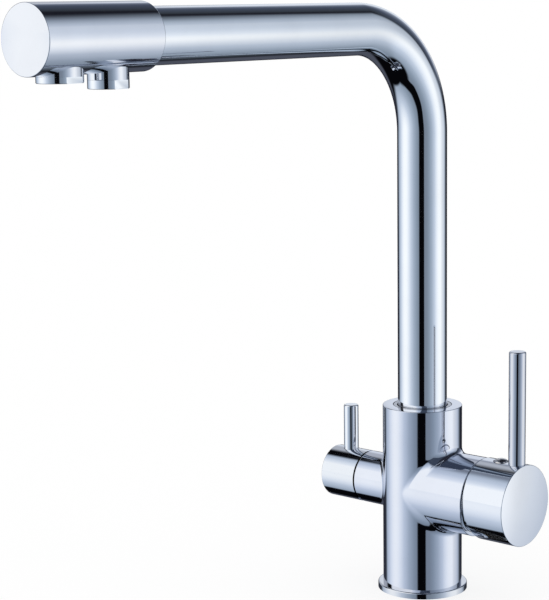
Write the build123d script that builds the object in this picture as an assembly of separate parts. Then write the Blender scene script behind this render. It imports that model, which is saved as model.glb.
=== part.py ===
from build123d import *
import math
import os

# Three way filtered water tap. Millimetres, Z up. The deck's top is z = 0 and the body's axis is the Z axis.
# The spout points along -Y at rest, the mixer lever is on the +X side and the filter lever on the -X side.

# Fits
running_fit = 0.06        # radial play of a part that turns in another
slip_fit = 0.1            # radial play of a part that is pushed or screwed into another
seat_gap = 0.05           # between faces that bear on each other
free_gap = 0.5            # between the spout's foot and the floor of its bore
handle_gap = 0.9          # between a branch of the body and the handle that turns on it

# Deck and what clamps the tap to it
deck_thickness = 20.0
ring_radius = 25.7
ring_height = 3.6
ring_edge = 0.8
spigot_radius = 20.2
spigot_bottom = 0.6
seal_inner = 22.4
seal_outer = 24.6
seal_height = 1.6
stud_radius = 4.0
stud_offset = 11.5
stud_depth = 15.0
stud_below_nut = 18.0
washer_thickness = 2.5
washer_radius = 25.0
plate_thickness = 2.5
plate_radius = 24.0
horseshoe_half_width = 16.0
horseshoe_end = 4.5
nut_across_flats = 13.0
nut_height = 6.5

# Body casting
body_radius = 22.7
body_top = 108.2
branch_radius = 22.5
branch_end = 43.3
branch_bevel = 3.0        # the lower half of the branch's end leans back by this much at the bottom
branch_bevel_start = 3.0  # below the axis
blend_radius = 3.5
edge_radius = 0.4
filter_branch_radius = 15.1
filter_branch_end = 38.9
filter_branch_wall = 1.7
mixer_height = 60.3
filter_height = 59.4

# Inlet ports and water ways
port_radius = 4.5
port_depth = 9.0
inlet_pitch = 9.4         # of the hot and cold ways, to each side of the body's axis
inlet_offset = -2.0
filter_port_offset = -11.0
riser_radius = 3.2
filter_riser_offset = -9.3
filter_riser_radius = 2.4
outlet_way_offset = 8.6
outlet_way_radius = 3.0

# Spout pipe, its foot and the ring that it turns in
pipe_radius = 14.0
pipe_wall = 1.2
spout_height = 322.2
bend_radius = 58.3
spout_reach = 267.9       # from the body's axis to the mixed water outlet
swivel_ring_radius = 16.8
swivel_ring_height = 5.9
bore_radius = 15.0
pipe_tail = 4.4           # length of pipe below the swivel ring
foot_height = 13.9        # of the foot, below the pipe's end
foot_spigot_height = 6.1
foot_bore = 11.0
web_rise = 7.0            # from the bore's floor to the web across the foot
web_thickness = 3.5
web_hole_circle = 7.0     # four holes let the mixed water past the filter tube's plug
web_hole_radius = 2.2
ring_groove_depth = 1.8
ring_groove_width = 2.2
foot_groove_levels = (1.3, 4.9)
retaining_drop = 2.4      # of the retaining screw, below the pipe's end
retaining_groove_depth = 1.5
retaining_screw_radius = 2.5
retaining_tip_radius = 1.4

# Filtered water tube inside the spout
tube_radius = 4.0
tube_wall = 1.25
plug_radius = 4.5
plug_tail = 5.0           # of the filter tube's plug, below the bore's floor
plug_flange_radius = 5.8
plug_flange_height = 2.0
socket_depth = 12.0       # of the plug's socket, below the bore's floor
barb_length = 7.0

# Outlet housing at the end of the spout
housing_wall = 1.55
housing_socket = 12.7     # how far the pipe reaches into the housing
housing_nose = 8.73       # from the mixed water outlet's edge to the housing's end
housing_end_wall = 3.5
outlet_gap = 8.92         # between the two outlets' edges
mains_radius = 10.97
mains_bottom = 19.85      # below the spout's axis
mains_neck_radius = 9.2
filter_nozzle_radius = 9.81
filter_bottom = 23.6
filter_neck_radius = 6.7
filter_neck_margin = 2.6  # between the filtered water nozzle's neck and the pipe's end
flat_height = 3.0
filter_flat_height = 4.2
neck_top = 9.0
nozzle_lip = 0.9
nozzle_wall = 1.2
outlet_washer = 1.4
manifold_way_radius = 2.9
manifold_way_side = 9.0
manifold_link_radius = 2.4    # of the way that joins the two, above the mixed water outlet
manifold_way_height = 3.5
manifold_seal_offset = 0.6
manifold_seal_width = 1.4
manifold_seal_depth = 1.2

# Mixer cartridge: places along +X from the body's axis
cavity_floor = 12.5
cavity_radius = 17.6
mouth_floor = 36.0
mouth_radius = 20.6
cartridge_base_height = 4.0
seal_squash = 0.4
cartridge_port_side = 9.4
cartridge_inlet_rise = 4.0
cartridge_outlet_drop = 9.0
cartridge_port_radius = 2.7
port_seal_wall = 1.5
port_seal_height = 1.6
disc_radius = 14.3
disc_height = 3.4
moving_disc_radius = 10.9
moving_disc_height = 2.95
driver_height = 3.4
cartridge_wall = 2.9
cartridge_lid = 4.0
guide_neck = 11.3
guide_end = 38.2
pivot = 31.0
pivot_pin_radius = 1.5
stem_ball_arm = 5.6
stem_ball_radius = 1.9
stem_neck = 1.2           # half thickness of the stem between its ball and its barrel
stem_barrel_radius = 3.9
stem_width = 7.0
stem_height = 6.0
stem_end = 60.5
cartridge_nut_height = 3.9
dome_radius = 24.0
dome_wall = 1.4
dome_opening = 14.2
lift_limit = 20.0         # degrees
peg_radius = 1.5          # of the two pegs that locate the cartridge's base
peg_length = 2.0
peg_circle = 14.0
peg_angle = 25.0          # degrees

# Mixer handle
hub_radius = 22.9
hub_end = 71.1
hub_bevel = 3.4           # the hub's rear edge leans away from the branch by this much at the bottom
hub_bevel_start = 16.0    # above the axis
hub_wall = 2.0
hub_end_wall = 4.5
hub_boss_radius = 6.0
hub_boss_start = 52.5
lever_offset = 65.4
lever_radius = 4.7
lever_top = 146.5
lever_root_radius = 3.3
lever_root_length = 10.0
lever_boss_radius = 5.6
grub_offset = 55.0
grub_radius = 2.5
grub_length = 9.0
grub_boss_radius = 3.4
index_radius = 4.5
index_depth = 2.4
index_rise = 1.0

# Filter valve: places along -X from the body's axis
valve_floor = 12.5
valve_radius = 9.5
valve_shoulder = 30.0
chamber_radius = 10.7
chamber_start = 19.5
chamber_end = 25.5
headwork_start = 14.0
headwork_bore = 7.3
headwork_shoulder = 26.9
headwork_neck_radius = 9.0
headwork_neck_end = 37.2
headwork_hex = 22.0
headwork_hex_height = 5.0
window_radius = 1.9
seat_washer_height = 3.9
valve_disc_height = 2.9
valve_way_offset = 3.6    # of the two openings in each ceramic disc
valve_way_radius = 2.0
spindle_radius = 3.95
spindle_flange_radius = 5.2
spindle_end = 54.0
clip_radius = 6.0
clip_thickness = 1.0
filter_hub_end = 63.9
filter_hub_wall = 2.2
filter_hub_cavity = 45.0
filter_lever_offset = 53.0
filter_lever_radius = 4.34
filter_lever_top = 100.8
filter_root_radius = 2.9
filter_root_length = 7.0
filter_grub_offset = 49.5
filter_grub_radius = 2.0
filter_grub_length = 5.0


# Places and sizes that follow from the ones above
washer_top = -deck_thickness
plate_top = washer_top - washer_thickness - seat_gap
nut_top = plate_top - plate_thickness - seat_gap
foot_shoulder = body_top - swivel_ring_height - pipe_tail
bore_floor = foot_shoulder - foot_height
retaining_height = foot_shoulder - retaining_drop
web_bottom = bore_floor + web_rise
plug_bottom = bore_floor - plug_tail
socket_floor = bore_floor - socket_depth
foot_bottom = bore_floor + free_gap
web_top = web_bottom + web_thickness
pipe_bore = pipe_radius - pipe_wall
pipe_bottom = foot_shoulder + seat_gap
tube_bore = tube_radius - tube_wall
barb_radius = tube_bore - seat_gap
mains_reach = spout_reach
filter_reach = mains_reach - mains_radius - outlet_gap - filter_nozzle_radius
pipe_reach = filter_reach - filter_neck_radius - filter_neck_margin
housing_bore = pipe_radius + 1.0
housing_radius = housing_bore + housing_wall
housing_start = pipe_reach - housing_socket
housing_end = mains_reach + mains_radius + housing_nose
manifold_start = pipe_reach + seat_gap
manifold_end = housing_end - housing_end_wall - slip_fit
manifold_radius = housing_bore - slip_fit
mains_joint = mains_bottom - flat_height      # level where the mains outlet meets the housing's boss
filter_joint = filter_bottom - filter_flat_height
mixer_base = cavity_floor + seal_squash
disc_floor = mixer_base + cartridge_base_height + seat_gap
moving_floor = disc_floor + disc_height + seat_gap
driver_floor = moving_floor + moving_disc_height + seat_gap
driver_top = driver_floor + driver_height
cartridge_top = mouth_floor - slip_fit
cartridge_radius = cavity_radius - slip_fit
cartridge_inner = cartridge_radius - cartridge_wall
guide_shoulder = cartridge_top - cartridge_lid - seat_gap
guide_start = driver_top + 0.2
cartridge_ports = ((-cartridge_port_side, cartridge_inlet_rise),
                   (cartridge_port_side, cartridge_inlet_rise),
                   (0, -cartridge_outlet_drop))
hub_start = branch_end + handle_gap
nut_end = mouth_floor + cartridge_nut_height
seat_washer_start = valve_floor + seat_gap
valve_disc_floor = seat_washer_start + seat_washer_height + seat_gap
valve_moving_floor = valve_disc_floor + valve_disc_height + seat_gap
spindle_flange_start = valve_moving_floor + valve_disc_height + seat_gap
hex_start = valve_shoulder + seat_gap
filter_hub_start = filter_branch_end + handle_gap


def disc(radius, low, high):
    return Pos(0, 0, (low + high) / 2) * Cylinder(radius, high - low)


def ring(outer, inner, low, high):
    return disc(outer, low, high) - disc(inner, low - 1, high + 1)


def hexagon(across_flats, low, high):
    outline = RegularPolygon(across_flats / 2, 6, major_radius=False)
    return Pos(0, 0, low) * extrude(outline, high - low)


def drill(radius, start, end):
    """A round bar from one point to another."""
    line = Vector(*end) - Vector(*start)
    return Plane(origin=start, z_dir=line) * Pos(0, 0, line.length / 2) * Cylinder(radius, line.length)


def block(x, y, z):
    """A box given by its low and high edge along each axis."""
    return Pos(sum(x) / 2, sum(y) / 2, sum(z) / 2) * Box(x[1] - x[0], y[1] - y[0], z[1] - z[0])


def wedge(points, half_width):
    """A prism across Y with the given corners in X and Z."""
    face = make_face(Polyline(*[(x, 0, z) for x, z in points], close=True))
    return extrude(face, half_width, dir=(0, 1, 0), both=True)


def soften(shape, radius, level, size):
    """Rounds the circular edges of one radius at one height along Z."""
    edges = [edge for edge in shape.edges().filter_by(GeomType.CIRCLE)
             if abs(edge.radius - radius) < 0.01 and abs(edge.arc_center.Z - level) < 0.01]
    return fillet(edges, size)


def on_mixer(shape):
    """Turns local Z to +X and local X to -Z, and lifts the shape to the mixer's axis."""
    return Pos(0, 0, mixer_height) * Rot(0, 90, 0) * shape


def on_filter(shape):
    """Turns local Z to -X and local X to +Z, and lifts the shape to the filter valve's axis."""
    return Pos(0, 0, filter_height) * Rot(0, -90, 0) * shape


def on_arm(shape):
    """Turns local Z to -Y and local Y to +Z, and lifts the shape to the spout's axis."""
    return Pos(0, 0, spout_height) * Rot(90, 0, 0) * shape


# Base and fixings ----------------------------------------------------------------------------------------

def base_ring():
    shape = ring(ring_radius, spigot_radius + slip_fit, 0, ring_height)
    shape = soften(shape, ring_radius, ring_height, ring_edge)
    return shape - ring(seal_outer, seal_inner, -1, seal_height)


def base_seal():
    return ring(seal_outer - slip_fit, seal_inner + slip_fit, 0, seal_height - seat_gap)


def horseshoe(radius, top, thickness):
    """A round plate with a wide slot for the hoses, open to -X, and a hole for the stud."""
    shape = disc(radius, top - thickness, top)
    middle = horseshoe_end - horseshoe_half_width / 2
    slot = block((-radius - 1, middle), (-horseshoe_half_width, horseshoe_half_width),
                 (top - thickness - 1, top + 1))
    slot += block((middle - 1, horseshoe_end), (-horseshoe_half_width, horseshoe_half_width),
                  (top - thickness - 1, top + 1))
    corners = slot.edges().filter_by(Axis.Z).sort_by(Axis.X)[-2:]
    slot = fillet(corners, horseshoe_half_width / 3)
    hole = Pos(stud_offset, 0, 0) * disc(stud_radius + 2 * slip_fit, top - thickness - 1, top + 1)
    return shape - slot - hole


def fixing_stud():
    low = nut_top - nut_height - stud_below_nut
    shape = Pos(stud_offset, 0, 0) * disc(stud_radius - seat_gap, low, spigot_bottom + stud_depth - 0.5)
    ends = shape.edges().filter_by(GeomType.CIRCLE)
    return chamfer(ends, 0.6)


def fixing_nut():
    shape = hexagon(nut_across_flats, nut_top - nut_height, nut_top)
    shape += disc(nut_across_flats / 2 + 2, nut_top - 1.5, nut_top)
    shape -= disc(stud_radius, nut_top - nut_height - 1, nut_top + 1)
    return Pos(stud_offset, 0, 0) * shape


# Body casting --------------------------------------------------------------------------------------------

def body_outside():
    shape = disc(body_radius, ring_height, body_top)
    shape += on_mixer(disc(branch_radius, 0, branch_end))
    shape += on_filter(disc(filter_branch_radius, 0, filter_branch_end))
    creases = [edge for edge in shape.edges() if edge.geom_type != GeomType.CIRCLE and edge.length < 200
               and abs(edge.center().X) > 1]
    shape = fillet(creases, blend_radius)
    shape = soften(shape, body_radius, body_top, edge_radius)
    low = mixer_height - branch_radius
    high = mixer_height - branch_bevel_start
    shape -= wedge([(branch_end, high), (branch_end + 5, high), (branch_end + 5, low - 0.01),
                    (branch_end - branch_bevel, low - 0.01)], body_radius + 1)
    return shape + disc(spigot_radius, spigot_bottom, ring_height)


def water_ways():
    """All drilled ways: inlet ports, risers, links to the two valves, and the ways up to the spout."""
    port_top = spigot_bottom + port_depth
    inlet_level = mixer_height + cartridge_inlet_rise
    outlet_level = mixer_height - cartridge_outlet_drop
    ways = []
    for side in (-inlet_pitch, inlet_pitch):
        ways.append(drill(port_radius, (inlet_offset, side, 0), (inlet_offset, side, port_top)))
        ways.append(drill(riser_radius, (inlet_offset, side, port_top - 1),
                          (inlet_offset, side, inlet_level + riser_radius)))
        ways.append(drill(cartridge_port_radius, (inlet_offset, side, inlet_level),
                          (cavity_floor + 1, side, inlet_level)))
    ways.append(drill(port_radius, (filter_port_offset, 0, 0), (filter_port_offset, 0, port_top)))
    ways.append(drill(filter_riser_radius, (filter_riser_offset, 0, port_top - 1),
                      (filter_riser_offset, 0, filter_height + filter_riser_radius)))
    ways.append(drill(filter_riser_radius, (filter_riser_offset, 0, filter_height),
                      (-valve_floor - 1, 0, filter_height)))
    ways.append(drill(outlet_way_radius, (outlet_way_offset, 0, outlet_level),
                      (outlet_way_offset, 0, bore_floor + 1)))
    ways.append(drill(cartridge_port_radius, (outlet_way_offset, 0, outlet_level),
                      (cavity_floor + 1, 0, outlet_level)))
    ways.append(drill(filter_riser_radius, (-chamber_end + 6, 0, filter_height + valve_radius - 1.5),
                      (-plug_radius / 2, 0, socket_floor + 3)))
    return ways


def body():
    shape = body_outside()
    shape -= on_mixer(disc(cavity_radius, cavity_floor, mouth_floor + 1))
    shape -= on_mixer(disc(mouth_radius, mouth_floor, branch_end + 1))
    for side in (-1, 1):
        shape -= on_mixer(Pos(*peg_place(side)) * disc(peg_radius + slip_fit, cavity_floor - peg_length - 0.2,
                                                       cavity_floor + 1))
    shape -= on_filter(disc(valve_radius + slip_fit, valve_floor, valve_shoulder + 1))
    shape -= on_filter(disc(filter_branch_radius - filter_branch_wall, valve_shoulder, filter_branch_end + 1))
    shape -= on_filter(disc(chamber_radius, chamber_start, chamber_end))
    shape -= disc(bore_radius, bore_floor, body_top + 1)
    shape -= disc(swivel_ring_radius + slip_fit, body_top - swivel_ring_height - seat_gap, body_top + 1)
    shape -= disc(plug_radius + running_fit, socket_floor, bore_floor + 1)
    for way in water_ways():
        shape -= way
    shape -= drill(stud_radius, (stud_offset, 0, 0), (stud_offset, 0, spigot_bottom + stud_depth))
    shape -= drill(retaining_screw_radius + seat_gap, (0, bore_radius - 1, retaining_height),
                   (0, body_radius + 1, retaining_height))
    return shape


def peg_place(side):
    """Place of a peg in the mixer's local frame, where local X points down."""
    angle = math.radians(peg_angle)
    return (peg_circle * math.sin(angle), side * peg_circle * math.cos(angle), 0)


# Spout and what turns with it ----------------------------------------------------------------------------

def arm_path(low, reach):
    corner = (0, 0, spout_height)
    return FilletPolyline((0, 0, low), corner, (0, -reach, spout_height), radius=bend_radius)


def bent_bar(radius, low, reach):
    return sweep(Plane(origin=(0, 0, low)) * Circle(radius), path=arm_path(low, reach))


def spout_pipe():
    return bent_bar(pipe_radius, pipe_bottom, pipe_reach) - bent_bar(pipe_bore, pipe_bottom, pipe_reach)


def swivel_ring():
    low = body_top - swivel_ring_height
    shape = ring(swivel_ring_radius, pipe_radius + running_fit, low, body_top)
    shape = soften(shape, swivel_ring_radius, body_top, edge_radius / 2)
    return soften(shape, pipe_radius + running_fit, body_top, edge_radius)


def spout_foot():
    radius = bore_radius - running_fit
    shape = disc(radius, foot_bottom, foot_shoulder)
    shape += disc(pipe_bore - slip_fit, foot_shoulder, foot_shoulder + foot_spigot_height)
    shape -= disc(foot_bore, foot_bottom - 1, web_bottom)
    shape -= disc(foot_bore - 0.5, web_top, foot_shoulder + foot_spigot_height + 1)
    shape -= disc(barb_radius + slip_fit, web_bottom - 1, web_top + 1)
    hole = Pos(web_hole_circle, 0, 0) * disc(web_hole_radius, web_bottom - 1, web_top + 1)
    for turn in range(4):
        shape -= Rot(0, 0, 45 + 90 * turn) * hole
    for level in foot_groove_levels:
        low = foot_bottom + level
        shape -= ring(radius + 1, radius - ring_groove_depth, low, low + ring_groove_width)
    half = retaining_tip_radius + 3 * slip_fit
    return shape - ring(radius + 1, radius - retaining_groove_depth, retaining_height - half,
                        retaining_height + half)


def packing_ring(inner, outer, low, high):
    """A rubber ring with rounded corners that fills most of its groove."""
    shape = ring(outer, inner, low, high)
    return fillet(shape.edges().filter_by(GeomType.CIRCLE), min(outer - inner, high - low) / 4)


def spout_packing():
    radius = bore_radius - running_fit
    rings = []
    for level in foot_groove_levels:
        low = foot_bottom + level
        rings.append(packing_ring(radius - ring_groove_depth + seat_gap, bore_radius - seat_gap,
                                  low + seat_gap, low + ring_groove_width - seat_gap))
    return Compound(children=rings)


def retaining_screw():
    tip = bore_radius - running_fit - retaining_groove_depth + 2 * slip_fit
    shape = drill(retaining_screw_radius, (0, bore_radius + 0.6, retaining_height),
                  (0, body_radius - 1.5, retaining_height))
    shape += drill(retaining_tip_radius, (0, tip, retaining_height), (0, bore_radius + 1, retaining_height))
    socket = Pos(0, body_radius - 3.5, retaining_height) * Rot(-90, 0, 0) * hexagon(2.5, 0, 3)
    return shape - socket


def filter_tube():
    low = web_top + seat_gap
    reach = manifold_start - seat_gap
    return bent_bar(tube_radius, low, reach) - bent_bar(tube_bore, low, reach)


def filter_plug():
    flange_top = web_bottom - seat_gap
    shape = disc(plug_radius, plug_bottom, flange_top - plug_flange_height)
    shape += disc(plug_flange_radius, flange_top - plug_flange_height, flange_top)
    shape += disc(barb_radius, flange_top, web_top + barb_length)
    shape -= disc(barb_radius - 0.9, plug_bottom - 1, web_top + barb_length + 1)
    return shape - ring(plug_radius + 1, plug_radius - 1.1, plug_bottom + 1.2, plug_bottom + 2.8)


def filter_plug_packing():
    return packing_ring(plug_radius - 1.1 + seat_gap, plug_radius + seat_gap / 2,
                        plug_bottom + 1.2 + seat_gap, plug_bottom + 2.8 - seat_gap)


def outlet_boss(reach, radius, joint):
    return Pos(0, -reach, spout_height) * disc(radius, -joint, -housing_bore + 6)


def outlet_housing():
    shape = on_arm(disc(housing_radius, housing_start, housing_end))
    shape = fillet([edge for edge in shape.edges().filter_by(GeomType.CIRCLE)], edge_radius)
    shape += outlet_boss(mains_reach, mains_radius, mains_joint)
    shape += outlet_boss(filter_reach, filter_nozzle_radius, filter_joint)
    shape -= on_arm(disc(pipe_radius + slip_fit / 2, housing_start - 1, pipe_reach + seat_gap))
    shape -= on_arm(disc(housing_bore, pipe_reach, housing_end - housing_end_wall))
    for reach, radius, joint in ((mains_reach, mains_neck_radius, mains_joint),
                                 (filter_reach, filter_neck_radius, filter_joint)):
        shape -= Pos(0, -reach, spout_height) * disc(radius + slip_fit, -joint - 1, 0)
    return shape


def manifold():
    """Block in the housing that keeps the mixed water and the filtered water apart."""
    shape = on_arm(disc(manifold_radius, manifold_start, manifold_end))
    shape += on_arm(disc(barb_radius, manifold_start - barb_length, manifold_start))
    groove = manifold_start + manifold_seal_offset
    shape -= on_arm(ring(manifold_radius + 1, manifold_radius - manifold_seal_depth, groove,
                         groove + manifold_seal_width))
    side = manifold_way_side
    near = -manifold_start + 1
    far = -mains_reach + 6
    level = spout_height + manifold_way_height
    shape -= drill(manifold_way_radius, (side, near, level), (side, far, level))
    shape -= drill(manifold_way_radius, (-side, near, level), (-side, far, level))
    shape -= drill(manifold_link_radius, (-side, far + 1, level), (side, far + 1, level))
    shape -= on_arm(disc(barb_radius - 0.9, manifold_start - barb_length - 1, filter_reach))
    ports = ((mains_reach, mains_neck_radius, neck_top - outlet_washer, mains_neck_radius - 2.4, 7.0),
             (filter_reach, filter_neck_radius, neck_top - outlet_washer, filter_neck_radius - 3.4, 0.5))
    for reach, radius, ceiling, way, top in ports:
        shape -= Pos(0, -reach, spout_height) * disc(radius + slip_fit, -manifold_radius - 1, -ceiling)
        shape -= Pos(0, -reach, spout_height) * disc(way, -ceiling - 1, top)
    return shape


def manifold_packing():
    low = manifold_start + manifold_seal_offset
    return on_arm(packing_ring(manifold_radius - manifold_seal_depth + seat_gap, housing_bore - seat_gap,
                               low + seat_gap, low + manifold_seal_width - seat_gap))


def nozzle(reach, radius, bottom, joint, neck, flat_share):
    """An outlet nozzle: a collar with two spanner flats and a threaded neck above it."""
    shape = disc(radius, -bottom, -joint - seat_gap)
    shape = soften(shape, radius, -bottom, edge_radius)
    for side in (-1, 1):
        shape -= Pos(side * radius * (1 + flat_share) / 2, 0, -(bottom + joint) / 2) * Box(
            radius * (1 - flat_share), 2 * radius, bottom - joint + 2)
    shape += disc(neck, -joint - seat_gap, -neck_top)
    shape -= disc(neck - nozzle_wall, -bottom + nozzle_lip, -neck_top + 1)
    shape -= disc(neck - 2 * nozzle_wall + 0.3, -bottom - 1, -bottom + nozzle_lip + 1)
    return Pos(0, -reach, spout_height) * shape


def mains_nozzle():
    return nozzle(mains_reach, mains_radius, mains_bottom, mains_joint, mains_neck_radius, 0.9)


def filter_nozzle():
    return nozzle(filter_reach, filter_nozzle_radius, filter_bottom, filter_joint, filter_neck_radius, 0.9)


def outlet_packing(reach, neck):
    low = -neck_top + seat_gap
    shape = ring(neck - slip_fit, neck - 2.3, low, low + outlet_washer - 2 * seat_gap)
    return Pos(0, -reach, spout_height) * shape


def aerator_insert():
    """Plastic cup with a honeycomb of hexagonal cells at its mouth."""
    radius = mains_neck_radius - nozzle_wall - seat_gap
    low = -mains_bottom + nozzle_lip + seat_gap
    high = -neck_top - 0.2
    shape = disc(radius, low, low + 2.4)
    shape += ring(radius, radius - 1.1, low, high)
    pitch = 2.6
    for row in range(-2, 3):
        for column in range(-2, 3):
            x = pitch * (column + row / 2)
            y = pitch * row * math.sqrt(3) / 2
            if math.hypot(x, y) < radius - 2.2:
                shape -= Pos(x, y, 0) * hexagon(pitch - 0.5, low - 1, low + 3)
    return Pos(0, -mains_reach, spout_height) * shape


def filter_straightener():
    """Plastic cup with seven round holes that steady the filtered water."""
    radius = filter_neck_radius - nozzle_wall - seat_gap
    low = -filter_bottom + nozzle_lip + seat_gap
    shape = disc(radius, low, low + 2.2)
    shape += ring(radius, radius - 0.9, low, -filter_joint)
    holes = [(0, 0)] + [(3.2 * math.cos(math.radians(60 * k)), 3.2 * math.sin(math.radians(60 * k)))
                        for k in range(6)]
    for x, y in holes:
        shape -= Pos(x, y, 0) * disc(1.1, low - 1, low + 3)
    return Pos(0, -filter_reach, spout_height) * shape


# Mixer cartridge -----------------------------------------------------------------------------------------

def at_ports(radius, low, high):
    """Round bars at the cartridge's three ports, in world coordinates, from one X to another."""
    return [drill(radius, (low, y, mixer_height + z), (high, y, mixer_height + z))
            for y, z in cartridge_ports]


def cartridge_base():
    top = mixer_base + cartridge_base_height
    shape = on_mixer(disc(cartridge_radius, mixer_base, top))
    for side in (-1, 1):
        shape += on_mixer(Pos(*peg_place(side)) * disc(peg_radius, cavity_floor - peg_length, mixer_base + 1))
    for way in at_ports(cartridge_port_radius, mixer_base - 1, top + 1):
        shape -= way
    for recess in at_ports(cartridge_port_radius + port_seal_wall + slip_fit, mixer_base - 1,
                           cavity_floor + port_seal_height):
        shape -= recess
    return shape


def port_seals():
    rings = []
    for y, z in cartridge_ports:
        seal = ring(cartridge_port_radius + port_seal_wall, cartridge_port_radius + 0.2,
                    cavity_floor + seat_gap, cavity_floor + port_seal_height - seat_gap)
        rings.append(on_mixer(Pos(-z, y, 0) * seal))
    return Compound(children=rings)


def fixed_disc():
    shape = on_mixer(disc(disc_radius, disc_floor, disc_floor + disc_height))
    for way in at_ports(cartridge_port_radius - 0.2, disc_floor - 1, moving_floor + 1):
        shape -= way
    return shape


def moving_disc():
    """Its pocket joins the outlet to the inlets only when the disc has slid up."""
    shape = on_mixer(disc(moving_disc_radius, moving_floor, moving_floor + moving_disc_height))
    depth = moving_floor + moving_disc_height * 0.55
    inlet_edge = mixer_height + cartridge_inlet_rise - cartridge_port_radius - 0.3
    pocket = drill(cartridge_port_radius * 2, (moving_floor - 1, 0, mixer_height - 4.8),
                   (depth, 0, mixer_height - 4.8))
    pocket += block((moving_floor - 1, depth), (-9.4, 9.4), (mixer_height - 2, inlet_edge))
    return shape - pocket


def disc_driver():
    """Slides the moving disc; the stem's ball sits in its socket and swings in the wider mouth."""
    shape = on_mixer(disc(moving_disc_radius - 0.4, driver_floor, driver_top))
    middle = pivot - stem_ball_arm + 0.5
    shape -= drill(stem_ball_radius + 0.15, (driver_floor - 1, 0, mixer_height), (middle, 0, mixer_height))
    return shape - drill(stem_ball_radius + 1.3, (middle, 0, mixer_height), (driver_top + 1, 0, mixer_height))


def cartridge_housing():
    shape = on_mixer(disc(cartridge_radius, disc_floor, cartridge_top))
    shape -= on_mixer(disc(cartridge_inner, disc_floor - 1, cartridge_top - cartridge_lid))
    return shape - on_mixer(disc(guide_neck + running_fit, guide_start, cartridge_top + 1))


def cartridge_guide():
    shape = on_mixer(disc(cartridge_inner - slip_fit, guide_start, guide_shoulder))
    shape += on_mixer(disc(guide_neck, guide_shoulder, guide_end))
    slot_half = stem_barrel_radius + 0.3
    reach = guide_end - pivot
    drop = reach * math.tan(math.radians(lift_limit)) + stem_height
    shape -= block((guide_start - 1, guide_end + 1), (-slot_half, slot_half),
                   (mixer_height - drop, mixer_height + stem_height))
    return shape - drill(pivot_pin_radius + seat_gap, (pivot, -cartridge_inner - 1, mixer_height),
                         (pivot, cartridge_inner + 1, mixer_height))


def guide_pin():
    half = guide_neck - 0.4
    return drill(pivot_pin_radius, (pivot, -half, mixer_height), (pivot, half, mixer_height))


def cartridge_stem():
    ball = pivot - stem_ball_arm
    shape = drill(stem_barrel_radius, (pivot, -stem_barrel_radius, mixer_height),
                  (pivot, stem_barrel_radius, mixer_height))
    shape += block((ball, pivot), (-stem_neck, stem_neck),
                   (mixer_height - stem_neck, mixer_height + stem_neck))
    shape += Pos(ball, 0, mixer_height) * Sphere(stem_ball_radius)
    shape += block((pivot, stem_end), (-stem_width / 2, stem_width / 2),
                   (mixer_height - stem_height / 2, mixer_height + stem_height / 2))
    return shape - drill(pivot_pin_radius + running_fit, (pivot, -stem_width, mixer_height),
                         (pivot, stem_width, mixer_height))


def cartridge_nut():
    shape = ring(mouth_radius - slip_fit, guide_neck + 1.7, mouth_floor, nut_end)
    for turn in range(6):
        shape -= Rot(0, 0, 60 * turn) * block((mouth_radius - 3.5, mouth_radius + 1), (-2, 2),
                                              (nut_end - 1.4, nut_end + 1))
    return on_mixer(shape)


def cover_dome():
    """A chromed cap, round about the stem's pivot, that hides the cartridge behind the handle."""
    outer = mouth_radius - 2 * slip_fit
    low = nut_end + seat_gap

    def arc(radius, start, end):
        """Points where a sphere about the pivot has two given distances from the axis, and one between."""
        angles = [math.asin(distance / radius) for distance in (start, end)]
        angles.insert(1, sum(angles) / 2)
        return ThreePointArc(*[(radius * math.sin(angle), 0, pivot + radius * math.cos(angle))
                               for angle in angles])

    outside = arc(dome_radius, outer, dome_opening)
    inside = arc(dome_radius - dome_wall, dome_opening, outer - dome_wall)
    foot = Polyline(inside @ 1, (outer - dome_wall, 0, low), (outer, 0, low), outside @ 0)
    section = make_face([outside, Line(outside @ 1, inside @ 0), inside, foot])
    return on_mixer(revolve(section, Axis.Z))


# Mixer handle --------------------------------------------------------------------------------------------

def mixer_hub():
    shape = soften(disc(hub_radius, hub_start, hub_end), hub_radius, hub_end, edge_radius)
    shape -= disc(hub_radius - hub_wall, hub_start - 1, hub_end - hub_end_wall)
    shape += disc(hub_boss_radius, hub_boss_start, hub_end - 1)
    shape = on_mixer(shape)
    wall = mixer_height + hub_radius - hub_wall / 2
    shape += drill(grub_boss_radius, (grub_offset, 0, mixer_height + 1), (grub_offset, 0, wall))
    shape += drill(lever_boss_radius, (lever_offset, 0, mixer_height + 1), (lever_offset, 0, wall))
    low = mixer_height - hub_radius
    high = mixer_height + hub_bevel_start
    shape -= wedge([(hub_start, high), (hub_start - 5, high), (hub_start - 5, low - 0.01),
                    (hub_start + hub_bevel, low - 0.01)], hub_radius + 1)
    across = stem_width / 2 + seat_gap
    tall = stem_height / 2 + seat_gap
    shape -= block((hub_boss_start - 1, stem_end + 3 * slip_fit), (-across, across),
                   (mixer_height - tall, mixer_height + tall))
    top = mixer_height + hub_radius
    shape -= drill(grub_radius + seat_gap, (grub_offset, 0, mixer_height + 1), (grub_offset, 0, top + 1))
    shape -= drill(index_radius + seat_gap, (grub_offset, 0, top - index_depth), (grub_offset, 0, top + 1))
    shape -= drill(lever_radius + slip_fit, (lever_offset, 0, lever_seat(hub_radius, lever_radius)),
                   (lever_offset, 0, hub_radius + 1 + mixer_height))
    return shape - drill(lever_root_radius + seat_gap,
                         (lever_offset, 0, lever_seat(hub_radius, lever_radius) - lever_root_length - 0.4),
                         (lever_offset, 0, top))


def lever_seat(radius, rod):
    """Height of the flat seat that a round lever needs on top of the mixer hub."""
    return mixer_height + math.sqrt(radius ** 2 - (rod + slip_fit) ** 2) - 0.2


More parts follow.
